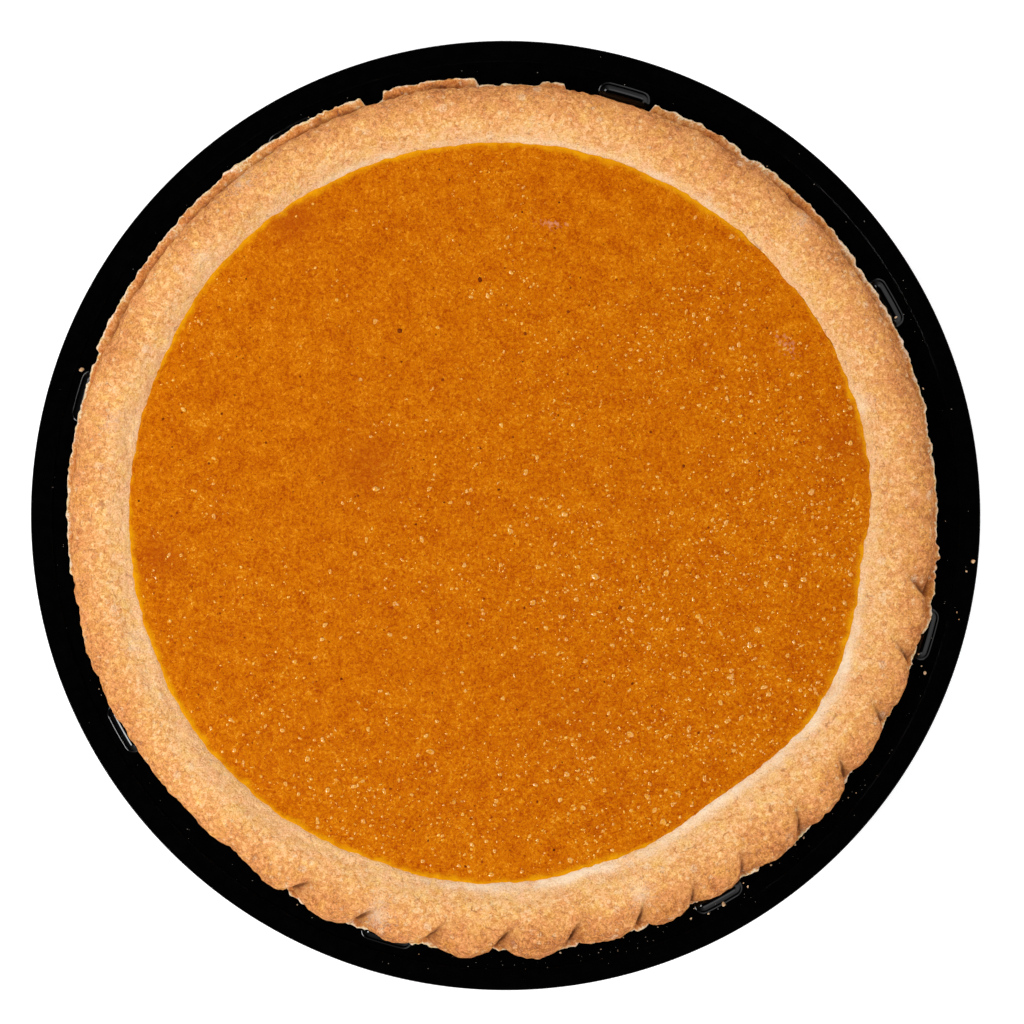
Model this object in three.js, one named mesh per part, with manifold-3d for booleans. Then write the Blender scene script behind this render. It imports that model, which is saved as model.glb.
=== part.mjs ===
// A whole baked pumpkin pie in its black moulded plastic dish.
//
// Millimetres, +Z up, with the origin at the bottom centre of the dish. Angles are in
// degrees, anticlockwise from +X as seen from above. Three solids lie in each other: the
// dish, the pastry shell with its rolled rim, and the custard that fills the shell.
import * as THREE from 'three';
import { mergeVertices } from 'three/addons/utils/BufferGeometryUtils.js';
import Module from 'manifold-3d';

const wasm = await Module();
wasm.setup();

// Dish: a thin tray with a raised floor panel in a foot ring, and a wide flat flange.
const DISH_RADIUS = 134;
const DISH_WALL = 0.8;
const DISH_SEGMENTS = 60;
const FOOT_RADIUS = 90;
const FOOT_WIDTH = 6;
const FLOOR_RISE = 1.6;
const FLOOR_SLOPE = 2;
const MOUTH_RADIUS = 107.5;
const FLANGE_HEIGHT = 26;
const LID_STEP_RADIUS = 128.2;
const LID_STEP_RISE = 1;
const LIP_ROUNDING = 1.4;
const LIP_DROP = 3.6;

// Lugs: hollow pads pressed up out of the flange, evenly spaced round it.
const LUG_COUNT = 8;
const LUG_FIRST_ANGLE = 29.2;
const LUG_RADIUS = 123.2;
const LUG_LENGTH = 14.5;
const LUG_WIDTH = 4.8;
const LUG_RISE = 1.4;
const LUG_BEVEL = 0.6;

// Shell: the pastry lies in the dish, and its rolled rim rests on the flange.
const SEAT_GAP = 0.3;
const SHELL_WALL = 5.2;
const SHELL_FLOOR = 4;
const UNDERSIDE_RADIUS = 119.4;
const RIM_CENTRE_X = -0.97;
const ROLL_RADIUS = 121.5;
const ROLL_HEIGHT = 11.2;
const LEDGE_HEIGHT = 3.9;
const LEDGE_THICKNESS = 1.3;

// Flutes: finger crimps round the roll, slanted, each with a sharp crease on one side.
const FLUTE_COUNT = 38;
const FLUTE_FIRST_CREASE = 2.8;
const FLUTE_DEPTH = 4.3;
const FLUTE_LEAN = 0.33;
const COLUMNS_PER_FLUTE = 4;

// Custard: set level inside the rim, a little nearer one side than the dish is.
const CUSTARD_RADIUS = 104;
const CUSTARD_CENTRE = { x: -2.15, y: 1 };
const CUSTARD_EDGE_HEIGHT = 5.6;
const CUSTARD_SAG = 0.6;
const CUSTARD_COLUMNS = 76;

// Where the lower lip of pastry sticks out past the roll, and by how much.
const LEDGES = [
  { from: -4, to: 23, reach: 1.4 },
  { from: 29, to: 55, reach: 2.3 },
  { from: 57, to: 73, reach: 2.3 },
  { from: 82, to: 86, reach: 2.2 },
  { from: 86, to: 94, reach: 0.8 },
  { from: 94, to: 106, reach: 3.3 },
  { from: 109, to: 158, reach: 2.8 },
  { from: 158, to: 181, reach: 1.9 },
  { from: 181, to: 188, reach: 0.8 },
];

// Where the custard's edge leaves its circle: the angle, how wide, and how far out.
const CUSTARD_LOBES = [
  { at: 15, width: 22, push: 1.4 },
  { at: 132, width: 14, push: 0.6 },
  { at: 165, width: 12, push: -0.4 },
  { at: 222, width: 24, push: 1.3 },
  { at: 264, width: 8, push: 0.9 },
  { at: 285, width: 5, push: -0.8 },
  { at: 305, width: 13, push: -2.6 },
  { at: 330, width: 12, push: 1.9 },
  { at: 353, width: 7, push: -1.2 },
];

const radians = THREE.MathUtils.degToRad;
const ramp = THREE.MathUtils.smoothstep;

// The angle in degrees from one direction to another, between -180 and 180.
function turn(from, to) {
  return THREE.MathUtils.euclideanModulo(to - from + 180, 360) - 180;
}

// 1 between two directions and 0 outside them, with soft ends a few degrees wide.
function between(angle, from, to, soft) {
  const past = turn((from + to) / 2, angle);
  return 1 - ramp(Math.abs(past), (to - from) / 2 - soft, (to - from) / 2 + soft);
}

// Deep crimps run round the near side and the rest of the rim was pressed almost flat.
function crimpStrength(angle) {
  return 0.2 + 0.8 * between(angle, 236, 357, 6);
}

// One crimp: 0 in the crease, rising slowly to 1 past the middle, and falling fast.
function hump(angle, inward) {
  const pitch = 360 / FLUTE_COUNT;
  const place = (angle - FLUTE_FIRST_CREASE - inward * FLUTE_LEAN) / pitch;
  const u = THREE.MathUtils.euclideanModulo(place, 1);
  return Math.pow(Math.sin(Math.PI * Math.pow(u, 1.2)), 0.7);
}

// How far a crimp pushes the pastry out from the mean, at a distance in from the edge.
function crimpPush(angle, inward) {
  return crimpStrength(angle) * FLUTE_DEPTH * (hump(angle, inward) - 0.52);
}

// The outer edge of the roll without its crimps: fuller where the rim was crimped.
function rollRadius(angle) {
  const plain = between(angle, 190, 240, 5);
  const crimped = between(angle, 240, 357, 4);
  return ROLL_RADIUS + 1.1 * plain + 1.4 * crimped + RIM_CENTRE_X * Math.cos(radians(angle));
}

// The tip of the lower lip: tucked under the roll except where it is listed.
function ledgeRadius(angle) {
  const shown = LEDGES.reduce((sum, l) => sum + l.reach * between(angle, l.from, l.to, 0.8), 0);
  return rollRadius(angle) + Math.max(shown, -0.4);
}

// The line where the custard meets the pastry.
function custardRadius(angle) {
  const centre = CUSTARD_CENTRE.x * Math.cos(radians(angle)) + CUSTARD_CENTRE.y * Math.sin(radians(angle));
  const lobes = CUSTARD_LOBES.reduce(
    (sum, l) => sum + l.push * Math.exp(-Math.pow(turn(l.at, angle) / l.width, 2)), 0);
  return CUSTARD_RADIUS + centre + lobes;
}

// The radius of the shell's outer wall at a height, just inside the dish's wall.
function shellWallRadius(height) {
  const slope = (MOUTH_RADIUS - FOOT_RADIUS) / FLANGE_HEIGHT;
  return FOOT_RADIUS - 1.6 * SEAT_GAP + (height - 2 * DISH_WALL) * slope;
}

// A closed skin through rings of points. Each ring is a function from an angle to a radius
// and a height; the first and the last are closed by a fan to a point on the axis.
function skinOfRings(rings, columns, bottomHeight, topHeight) {
  const points = [0, 0, bottomHeight, 0, 0, topHeight];
  for (const ring of rings) {
    for (let j = 0; j < columns; j += 1) {
      const angle = (360 * j) / columns;
      const [radius, height] = ring(angle);
      points.push(radius * Math.cos(radians(angle)), radius * Math.sin(radians(angle)), height);
    }
  }
  const at = (k, j) => 2 + k * columns + (j % columns);
  const triangles = [];
  for (let j = 0; j < columns; j += 1) {
    triangles.push(0, at(0, j + 1), at(0, j));
    triangles.push(1, at(rings.length - 1, j), at(rings.length - 1, j + 1));
    for (let k = 0; k < rings.length - 1; k += 1) {
      triangles.push(at(k, j), at(k, j + 1), at(k + 1, j + 1));
      triangles.push(at(k, j), at(k + 1, j + 1), at(k + 1, j));
    }
  }
  const geometry = new THREE.BufferGeometry();
  geometry.setAttribute('position', new THREE.Float32BufferAttribute(points, 3));
  geometry.setIndex(triangles);
  geometry.computeVertexNormals();
  return geometry;
}

// A three.js geometry as a solid that can be joined and cut.
function toSolid(geometry) {
  const bare = geometry.clone();
  bare.deleteAttribute('normal');
  bare.deleteAttribute('uv');
  const merged = mergeVertices(bare, 1e-4);
  const corners = merged.index.array;
  const triangles = [];
  for (let i = 0; i < corners.length; i += 3) {
    const [a, b, c] = [corners[i], corners[i + 1], corners[i + 2]];
    if (a !== b && b !== c && c !== a) triangles.push(a, b, c);
  }
  return new wasm.Manifold(new wasm.Mesh({
    numProp: 3,
    vertProperties: Float32Array.from(merged.attributes.position.array),
    triVerts: Uint32Array.from(triangles),
  }));
}

// A joined and cut solid as a three.js geometry again.
function toGeometry(solid) {
  const mesh = solid.getMesh();
  const geometry = new THREE.BufferGeometry();
  geometry.setAttribute('position', new THREE.BufferAttribute(mesh.vertProperties, 3));
  geometry.setIndex(new THREE.BufferAttribute(mesh.triVerts, 1));
  geometry.computeVertexNormals();
  return geometry;
}

// A round-ended pad with sloping edges, lying along X, from one height up to another.
function pad(length, width, low, high) {
  const half = (length - width) / 2;
  const radius = width / 2 - LUG_BEVEL;
  const outline = new THREE.Shape();
  outline.absarc(half, 0, radius, -Math.PI / 2, Math.PI / 2, false);
  outline.absarc(-half, 0, radius, Math.PI / 2, (3 * Math.PI) / 2, false);
  const geometry = new THREE.ExtrudeGeometry(outline, {
    depth: high - low - 2 * LUG_BEVEL,
    bevelThickness: LUG_BEVEL,
    bevelSize: LUG_BEVEL,
    bevelSegments: 1,
    curveSegments: 4,
  });
  return geometry.translate(0, 0, low + LUG_BEVEL);
}

// The tray's section: along its underside from the axis to the lip, and back on top.
function dishShell() {
  const footInner = FOOT_RADIUS - FOOT_WIDTH;
  const lipTop = FLANGE_HEIGHT + LID_STEP_RISE;
  const wallShift = 0.6;
  const section = [
    [0, FLOOR_RISE],
    [footInner - FLOOR_SLOPE, FLOOR_RISE],
    [footInner, 0],
    [FOOT_RADIUS, 0],
    [MOUTH_RADIUS + wallShift, FLANGE_HEIGHT - DISH_WALL],
    [LID_STEP_RADIUS + wallShift, FLANGE_HEIGHT - DISH_WALL],
    [LID_STEP_RADIUS + LID_STEP_RISE + wallShift, lipTop - DISH_WALL],
    [DISH_RADIUS - LIP_ROUNDING, lipTop - DISH_WALL],
    [DISH_RADIUS - DISH_WALL, lipTop - LIP_ROUNDING],
    [DISH_RADIUS - DISH_WALL, lipTop - LIP_DROP],
    [DISH_RADIUS, lipTop - LIP_DROP],
    [DISH_RADIUS, lipTop - LIP_ROUNDING],
    [DISH_RADIUS - 0.3 * LIP_ROUNDING, lipTop - 0.3 * LIP_ROUNDING],
    [DISH_RADIUS - LIP_ROUNDING, lipTop],
    [LID_STEP_RADIUS + LID_STEP_RISE, lipTop],
    [LID_STEP_RADIUS, FLANGE_HEIGHT],
    [MOUTH_RADIUS, FLANGE_HEIGHT],
    [FOOT_RADIUS - wallShift, DISH_WALL],
    [footInner + wallShift, DISH_WALL],
    [footInner + wallShift - FLOOR_SLOPE, FLOOR_RISE + DISH_WALL],
    [0, FLOOR_RISE + DISH_WALL],
  ];
  const profile = section.map(([radius, height]) => new THREE.Vector2(radius, height));
  return new THREE.LatheGeometry(profile, DISH_SEGMENTS).rotateX(Math.PI / 2);
}

// The dish: the tray with its hollow lugs pressed up out of the flange.
function dishGeometry() {
  let dish = toSolid(dishShell());
  const low = FLANGE_HEIGHT - DISH_WALL;
  const raised = pad(LUG_LENGTH, LUG_WIDTH, low + 0.1, FLANGE_HEIGHT + LUG_RISE);
  const hollow = pad(
    LUG_LENGTH - 2 * DISH_WALL, LUG_WIDTH - 2 * DISH_WALL, low - 2, FLANGE_HEIGHT + LUG_RISE - DISH_WALL);
  for (let i = 0; i < LUG_COUNT; i += 1) {
    const place = new THREE.Matrix4()
      .makeRotationZ(radians(LUG_FIRST_ANGLE + (360 * i) / LUG_COUNT - 90))
      .multiply(new THREE.Matrix4().makeTranslation(0, LUG_RADIUS, 0));
    dish = dish.add(toSolid(raised.clone().applyMatrix4(place)));
    dish = dish.subtract(toSolid(hollow.clone().applyMatrix4(place)));
  }
  return toGeometry(dish);
}

// The pastry shell: up the outside, over the lower lip and the crimped roll, and down inside.
function crustGeometry() {
  const floorLow = FLOOR_RISE + DISH_WALL + SEAT_GAP;
  const floorTop = floorLow + SHELL_FLOOR;
  const seat = FLANGE_HEIGHT + SEAT_GAP;
  const ledgeTop = FLANGE_HEIGHT + LEDGE_HEIGHT;
  const crest = FLANGE_HEIGHT + ROLL_HEIGHT;
  const edge = FLANGE_HEIGHT + CUSTARD_EDGE_HEIGHT;
  const lip = (angle) => Math.max(ledgeRadius(angle), UNDERSIDE_RADIUS + 1.8);
  const roll = (inward) => (angle) => rollRadius(angle) - inward + crimpPush(angle, inward);
  const lift = (angle, inward) => crimpStrength(angle) * (hump(angle, inward) - 0.7);
  const slump = (angle) => 0.35 * Math.sin(radians(3 * angle + 40)) + 0.25 * Math.sin(radians(7 * angle));
  const rings = [
    () => [shellWallRadius(floorLow), floorLow],
    () => [shellWallRadius(seat), seat],
    () => [UNDERSIDE_RADIUS, seat],
    () => [UNDERSIDE_RADIUS + 1.5, seat + 1.8],
    (a) => [lip(a), ledgeTop - LEDGE_THICKNESS],
    (a) => [lip(a) - 0.5, ledgeTop],
    (a) => [Math.min(roll(1)(a), lip(a) - 0.6), ledgeTop + 0.5],
    (a) => [roll(0)(a), ledgeTop + 2.3],
    (a) => [roll(1.6)(a), crest - 2.3 + 0.6 * lift(a, 1.6)],
    (a) => [rollRadius(a) - 4.6 + 0.5 * crimpPush(a, 4.6), crest - 0.6 + 1.1 * lift(a, 4.6) + slump(a)],
    (a) => [rollRadius(a) - 8.4, crest + 0.4 * lift(a, 8.4) + slump(a)],
    (a) => [custardRadius(a) + 4.4, crest - 1.5 + slump(a)],
    (a) => [custardRadius(a) + 1.4, edge + 1.9],
    (a) => [custardRadius(a), edge + 0.3],
    (a) => [custardRadius(a) - 0.7, edge - 1.2],
    (a) => [innerWallRadius(seat, a), seat],
    () => [shellWallRadius(floorTop) - SHELL_WALL, floorTop],
  ];
  return skinOfRings(rings, FLUTE_COUNT * COLUMNS_PER_FLUTE, floorLow, floorTop);
}

// The shell's inner wall near the mouth leans half way towards the custard's uneven edge.
function innerWallRadius(height, angle) {
  return shellWallRadius(height) - SHELL_WALL + 0.5 * (custardRadius(angle) - CUSTARD_RADIUS);
}

// The custard: fills the shell to its floor, with a slightly sunken middle.
function custardGeometry() {
  const low = FLOOR_RISE + DISH_WALL + SHELL_FLOOR + 2 * SEAT_GAP;
  const edge = FLANGE_HEIGHT + CUSTARD_EDGE_HEIGHT;
  const gap = 1.8 * SEAT_GAP;
  const surface = (part) => (angle) => {
    const ripple = 0.12 * Math.sin(radians(5 * angle + 300 * part)) * part;
    return [part * custardRadius(angle), edge - CUSTARD_SAG * (1 - part * part) + ripple];
  };
  const rings = [
    () => [shellWallRadius(low) - SHELL_WALL - gap, low],
    (a) => [innerWallRadius(FLANGE_HEIGHT, a) - gap, FLANGE_HEIGHT],
    (a) => [custardRadius(a) - 0.7 - gap, edge - 1.2],
    (a) => [custardRadius(a) - gap, edge],
    surface(0.93),
    surface(0.7),
    surface(0.4),
  ];
  return skinOfRings(rings, CUSTARD_COLUMNS, low, edge - CUSTARD_SAG);
}

function piece(name, geometry, color, roughness) {
  const mesh = new THREE.Mesh(geometry, new THREE.MeshStandardMaterial({ color, roughness, metalness: 0 }));
  mesh.name = name;
  return mesh;
}

const pie = new THREE.Group();
pie.add(piece('dish', dishGeometry(), 0x050505, 0.2));
pie.add(piece('crust', crustGeometry(), 0xe4a668, 0.85));
pie.add(piece('filling', custardGeometry(), 0xcc6e0a, 0.35));

export default pie;
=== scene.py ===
import math

import bpy
import numpy as np
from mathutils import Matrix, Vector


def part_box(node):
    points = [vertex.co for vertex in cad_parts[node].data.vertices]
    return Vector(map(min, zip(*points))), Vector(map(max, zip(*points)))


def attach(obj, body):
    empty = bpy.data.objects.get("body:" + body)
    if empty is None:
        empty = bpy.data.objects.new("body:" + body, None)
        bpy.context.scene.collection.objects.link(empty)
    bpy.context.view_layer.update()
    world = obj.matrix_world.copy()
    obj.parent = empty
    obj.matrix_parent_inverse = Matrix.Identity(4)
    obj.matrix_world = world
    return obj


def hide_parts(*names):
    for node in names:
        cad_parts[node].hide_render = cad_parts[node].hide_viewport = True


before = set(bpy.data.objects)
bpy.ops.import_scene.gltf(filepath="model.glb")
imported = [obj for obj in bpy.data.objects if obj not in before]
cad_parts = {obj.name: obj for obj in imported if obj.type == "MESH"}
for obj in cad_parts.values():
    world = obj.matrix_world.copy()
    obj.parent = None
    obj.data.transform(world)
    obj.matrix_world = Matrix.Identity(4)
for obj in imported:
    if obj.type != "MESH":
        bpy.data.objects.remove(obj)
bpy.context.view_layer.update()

# ---- Camera, lamps and table ----
# A long lens looks straight down on the pie. Soft lamps stand round it in a room that is
# dark overhead and bright to the right, so that the flat black flange mirrors only the dark.
MM = 0.001
dish_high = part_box("dish")[1]
VIEW_WIDTH = 288.9 * MM
LENS = 200.0
SENSOR = 36.0
CAMERA_X = 1.8 * MM
CAMERA_Y = 1.0 * MM

scene = bpy.context.scene
camera_data = bpy.data.cameras.new("camera")
camera_data.lens = LENS
camera_data.sensor_width = SENSOR
camera = bpy.data.objects.new("camera", camera_data)
camera.location = (CAMERA_X, CAMERA_Y, dish_high[2] + VIEW_WIDTH * LENS / SENSOR)
scene.collection.objects.link(camera)
scene.camera = camera
scene.view_settings.view_transform = "Standard"


def soft_lamp(name, azimuth, elevation, power, size=0.7, distance=1.6):
    """A square area lamp on a sphere round the pie, turned to face its middle."""
    data = bpy.data.lights.new(name, "AREA")
    data.energy = power
    data.size = size
    lamp = bpy.data.objects.new(name, data)
    turn, tilt = math.radians(azimuth), math.radians(elevation)
    across = distance * math.cos(tilt)
    lamp.location = (across * math.cos(turn), across * math.sin(turn), distance * math.sin(tilt))
    lamp.rotation_euler = (0.0, math.pi / 2 - tilt, turn)
    lamp.visible_camera = False
    scene.collection.objects.link(lamp)


soft_lamp("key_lamp", 214, 48, 14.0, size=0.5)
soft_lamp("left_lamp", 145, 50, 8.5)
soft_lamp("right_lamp", 60, 52, 2.0)
soft_lamp("near_lamp", 290, 50, 2.0)


def set_input(node, key, value):
    """Links a node's input to an output of another node, or sets it to a fixed value. The key
    is the input's name or number."""
    if isinstance(value, bpy.types.NodeSocket):
        node.id_data.links.new(value, node.inputs[key])
    else:
        node.inputs[key].default_value = value


def set_inputs(node, **values):
    """The same for several inputs. An underscore in a name stands for a space."""
    for name, value in values.items():
        set_input(node, name.replace("_", " "), value)


def scaled(tree, value, low, high, to_low=0.0, to_high=1.0):
    """A value carried from one range to another and held at its ends."""
    node = tree.nodes.new("ShaderNodeMapRange")
    set_inputs(node, From_Min=low, From_Max=high, To_Min=to_low, To_Max=to_high, Value=value)
    return node.outputs["Result"]


def colour_ramp(tree, value, stops):
    """A colour for each value, blended between stops of a position and a colour."""
    ramp = tree.nodes.new("ShaderNodeValToRGB")
    elements = ramp.color_ramp.elements
    elements[0].position, elements[0].color = stops[0]
    elements[1].position, elements[1].color = stops[-1]
    for position, colour in stops[1:-1]:
        elements.new(position).color = colour
    set_inputs(ramp, Fac=value)
    return ramp.outputs["Color"]


ROOM_LEVELS = ((0.0, 0.25), (0.42, 0.66), (0.8, 0.66), (0.88, 0.02), (0.95, 0.002))

room = bpy.data.worlds.new("room")
room.use_nodes = True
tree = room.node_tree
direction = tree.nodes.new("ShaderNodeSeparateXYZ")
set_input(direction, 0, tree.nodes.new("ShaderNodeTexCoord").outputs["Generated"])
walls = colour_ramp(tree, direction.outputs["Z"],
                    [(sine, (level, level, level, 1.0)) for sine, level in ROOM_LEVELS])
window = scaled(tree, direction.outputs["X"], -0.5, 0.85, 0.15, 1.95)
lit_walls = tree.nodes.new("ShaderNodeVectorMath")
lit_walls.operation = "SCALE"
set_input(lit_walls, 0, walls)
set_inputs(lit_walls, Scale=window)
set_inputs(tree.nodes["Background"], Color=lit_walls.outputs["Vector"])
scene.world = room

bpy.ops.mesh.primitive_plane_add(size=4.0, location=(0.0, 0.0, -0.0001))
table = bpy.context.object
table.name = "table"
table_material = bpy.data.materials.new("white_table")
table_material.use_nodes = True
set_inputs(table_material.node_tree.nodes["Principled BSDF"], Base_Color=(0.9, 0.9, 0.9, 1.0),
           Roughness=0.9, Specular_IOR_Level=0.1, Emission_Color=(1.0, 1.0, 1.0, 1.0),
           Emission_Strength=0.6)
table.data.materials.append(table_material)


# ---- Dish ----
# A tray of thin glossy black plastic, drawn from sheet over a mould: a raised floor panel in
# a foot ring, a sloping wall, and a wide flange with eight hollow lugs and a step for a lid.
DISH_RADIUS = dish_high[0]
LUG_RISE = 1.4 * MM
FLANGE = dish_high[2] - LUG_RISE
DISH_WALL = 0.8 * MM
FOOT_RADIUS = 90.0 * MM
MOUTH_RADIUS = 107.5 * MM
LID_STEP_RADIUS = 128.2 * MM
LID_STEP_RISE = 1.0 * MM
LUG_RADIUS = 123.2 * MM
LUG_LENGTH = 14.5 * MM
LUG_WIDTH = 4.8 * MM
LUG_SLOPE = 2.3 * MM
LUG_FIRST_ANGLE = 29.2
LUG_PITCH = 45.0
LUG_HALF_ANGLE = 3.9
FLOOR_RADIUS = 82.0 * MM
FLOOR_RISE = 1.6 * MM
FOOT_INNER_RADIUS = 84.0 * MM
POLE_GAP = 2.0 * MM
LIP_DEPTH = 3.6 * MM
DISH_COLUMNS = 750


def rounded_path(corners, step):
    """Points along straight runs whose corners are replaced by arcs. Each corner is a radius,
    a height and the size of its rounding, and the arc touches both runs that far from it. A
    point just before and after each arc keeps the runs flat."""
    path = [np.array([corners[0][:2]])]
    for before, here, after in zip(corners, corners[1:], corners[2:]):
        middle = np.array(here[:2])
        if here[2] == 0.0:
            path.append(middle[None])
            continue
        into = np.array(before[:2]) - middle
        out = np.array(after[:2]) - middle
        reach = min(here[2], 0.4 * np.linalg.norm(into), 0.4 * np.linalg.norm(out))
        into = into / np.linalg.norm(into)
        out = out / np.linalg.norm(out)
        start, end = middle + into * reach, middle + out * reach
        hold = min(0.2 * reach, 0.2 * step)
        t = np.linspace(0.0, 1.0, 2 + int(reach / step))[:, None]
        arc = (1 - t) ** 2 * start + 2 * t * (1 - t) * middle + t ** 2 * end
        path += [start[None] + into * hold, arc, end[None] + out * hold]
    path.append(np.array([corners[-1][:2]]))
    return np.concatenate(path)


def finer(path, spacing):
    """The same path with points added until no stretch is longer than spacing gives for the
    radius and height of its middle."""
    pieces = []
    for a, b in zip(path, path[1:]):
        count = max(1, int(np.ceil(np.linalg.norm(b - a) / spacing(*(a + b) / 2))))
        pieces.append(a + (b - a) * (np.arange(count) / count)[:, None])
    return np.concatenate(pieces + [path[-1:]])


def skin(radius, height, theta):
    """Points and faces of a closed skin. Row k, column j is the point at that radius and
    height in direction theta[j]; rows run from the lower pole outwards, up and back to the
    upper pole, and the first and last rows are closed by fans to points on the axis."""
    rows, columns = radius.shape
    x = radius * np.cos(theta)
    y = radius * np.sin(theta)
    points = np.stack([x, y, height], axis=-1).reshape(-1, 3)
    poles = [[0.0, 0.0, height[0].mean()], [0.0, 0.0, height[-1].mean()]]
    points = np.concatenate([points, poles])
    k, j = np.meshgrid(np.arange(rows - 1), np.arange(columns), indexing="ij")
    right = (j + 1) % columns
    quads = np.stack([k * columns + j, k * columns + right,
                      (k + 1) * columns + right, (k + 1) * columns + j], axis=-1).reshape(-1, 4)
    j = np.arange(columns)
    right = (j + 1) % columns
    low = np.full(columns, rows * columns)
    last = (rows - 1) * columns
    fans = np.concatenate([np.stack([low, right, j], axis=-1),
                           np.stack([low + 1, last + j, last + right], axis=-1)])
    return points, quads, fans


def make_piece(name, points, quads, triangles, material, slot):
    """A smooth mesh object at the origin from arrays of points, quads and triangles, with its
    material, riding on the one body. The slot argument is not used."""
    mesh = bpy.data.meshes.new(name)
    corners = np.concatenate([np.ravel(quads), np.ravel(triangles)]).astype(np.int32)
    starts = np.concatenate([np.arange(len(quads)) * 4,
                             4 * len(quads) + np.arange(len(triangles)) * 3]).astype(np.int32)
    mesh.vertices.add(len(points))
    mesh.vertices.foreach_set("co", np.ravel(points).astype(np.float32))
    mesh.loops.add(len(corners))
    mesh.loops.foreach_set("vertex_index", corners)
    mesh.polygons.add(len(starts))
    mesh.polygons.foreach_set("loop_start", starts)
    mesh.update(calc_edges=True)
    mesh.shade_smooth()
    mesh.materials.append(material)
    piece = bpy.data.objects.new(name, mesh)
    scene.collection.objects.link(piece)
    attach(piece, "root")
    return piece


def past(theta, centre, turn=360.0):
    """Degrees from a direction to theta, wrapped to at most half a turn either way. With a
    shorter turn, degrees from the nearest of the directions that lie that far apart."""
    return (theta - centre + turn / 2) % turn - turn / 2


def lug_rise(x, y):
    """How far the flange is pressed up at a place: nothing outside the lugs' round-ended
    outlines, and inside them a slope that starts steep and rounds off into a flat top."""
    radius = np.hypot(x, y)
    angle = np.degrees(np.arctan2(y, x))
    along = np.abs(np.radians(past(angle, LUG_FIRST_ANGLE, LUG_PITCH)) * LUG_RADIUS)
    beyond = np.maximum(along - (LUG_LENGTH - LUG_WIDTH) / 2, 0.0)
    inside = LUG_WIDTH / 2 - np.hypot(beyond, radius - LUG_RADIUS)
    t = np.clip(inside / LUG_SLOPE, 0.0, 1.0)
    return LUG_RISE * (1 - (1 - t) ** 1.9)


def dish_spacing(radius, height):
    """How far apart the dish's rings of points lie: close where the lugs are pressed up."""
    if abs(radius - LUG_RADIUS) > LUG_WIDTH / 2 + 0.6 * MM or height < FLANGE - 1.5 * DISH_WALL:
        return 12 * MM
    return 0.3 * MM if height > FLANGE - 0.5 * DISH_WALL else 0.9 * MM


LIP_TOP = FLANGE + LID_STEP_RISE
LUG_BAND = (LUG_RADIUS - LUG_WIDTH / 2 - 0.5 * MM, LUG_RADIUS + LUG_WIDTH / 2 + 0.5 * MM)
dish_section = rounded_path([
    (POLE_GAP, FLOOR_RISE, 0.0),
    (FLOOR_RADIUS, FLOOR_RISE, 1.2 * MM),
    (FOOT_INNER_RADIUS, 0.0, 1.2 * MM),
    (FOOT_RADIUS, 0.0, 1.0 * MM),
    (MOUTH_RADIUS + 0.6 * MM, FLANGE - DISH_WALL, 1.5 * MM),
    (LUG_BAND[0], FLANGE - DISH_WALL, 0.0),
    (LUG_BAND[1], FLANGE - DISH_WALL, 0.0),
    (LID_STEP_RADIUS + 0.6 * MM, FLANGE - DISH_WALL, 0.2 * MM),
    (LID_STEP_RADIUS + 0.8 * MM, LIP_TOP - DISH_WALL, 0.2 * MM),
    (DISH_RADIUS - DISH_WALL, LIP_TOP - DISH_WALL, 0.5 * MM),
    (DISH_RADIUS - DISH_WALL, LIP_TOP - LIP_DEPTH, 0.15 * MM),
    (DISH_RADIUS, LIP_TOP - LIP_DEPTH, 0.15 * MM),
    (DISH_RADIUS, LIP_TOP, 0.16 * MM),
    (LID_STEP_RADIUS + 0.1 * MM, LIP_TOP, 0.02 * MM),
    (LID_STEP_RADIUS, FLANGE, 0.02 * MM),
    (LUG_BAND[1], FLANGE, 0.0),
    (LUG_BAND[0], FLANGE, 0.0),
    (MOUTH_RADIUS, FLANGE, 1.5 * MM),
    (FOOT_RADIUS - 0.6 * MM, DISH_WALL, 1.0 * MM),
    (FOOT_INNER_RADIUS + 0.6 * MM, DISH_WALL, 1.2 * MM),
    (FLOOR_RADIUS + 0.6 * MM, FLOOR_RISE + DISH_WALL, 1.2 * MM),
    (POLE_GAP, FLOOR_RISE + DISH_WALL, 0.0),
], 0.45 * MM)
dish_section = finer(dish_section, dish_spacing)

sweep = np.linspace(0.0, 360.0, 7201)
at_lug = np.abs(past(sweep, LUG_FIRST_ANGLE, LUG_PITCH)) < LUG_HALF_ANGLE
crowding = np.cumsum(1.0 + 4.0 * at_lug)
crowding = (crowding - crowding[0]) / (crowding[-1] - crowding[0])
dish_theta = np.radians(np.interp(np.arange(DISH_COLUMNS) / DISH_COLUMNS, crowding, sweep))

dish_r = np.repeat(dish_section[:, :1], len(dish_theta), axis=1)
dish_z = np.repeat(dish_section[:, 1:], len(dish_theta), axis=1)
on_flange = dish_z > FLANGE - 1.5 * DISH_WALL
dish_z = dish_z + on_flange * lug_rise(dish_r * np.cos(dish_theta), dish_r * np.sin(dish_theta))


def new_material(name, roughness, specular):
    """An empty procedural material, its tree of nodes, its main shader, and the output that
    gives the place of each point."""
    material = bpy.data.materials.new(name)
    material.use_nodes = True
    tree = material.node_tree
    shader = tree.nodes["Principled BSDF"]
    set_inputs(shader, Roughness=roughness, Specular_IOR_Level=specular)
    return material, tree, shader, tree.nodes.new("ShaderNodeTexCoord").outputs["Object"]


def noise_node(tree, place, size, detail=2.0, roughness=0.5, twist=0.0):
    """Cloudy noise on object coordinates with features of about the given size, drawn out
    into curls by the twist."""
    noise = tree.nodes.new("ShaderNodeTexNoise")
    set_inputs(noise, Scale=1.0 / size, Detail=detail, Roughness=roughness, Distortion=twist, Vector=place)
    return noise.outputs["Fac"]


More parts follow.
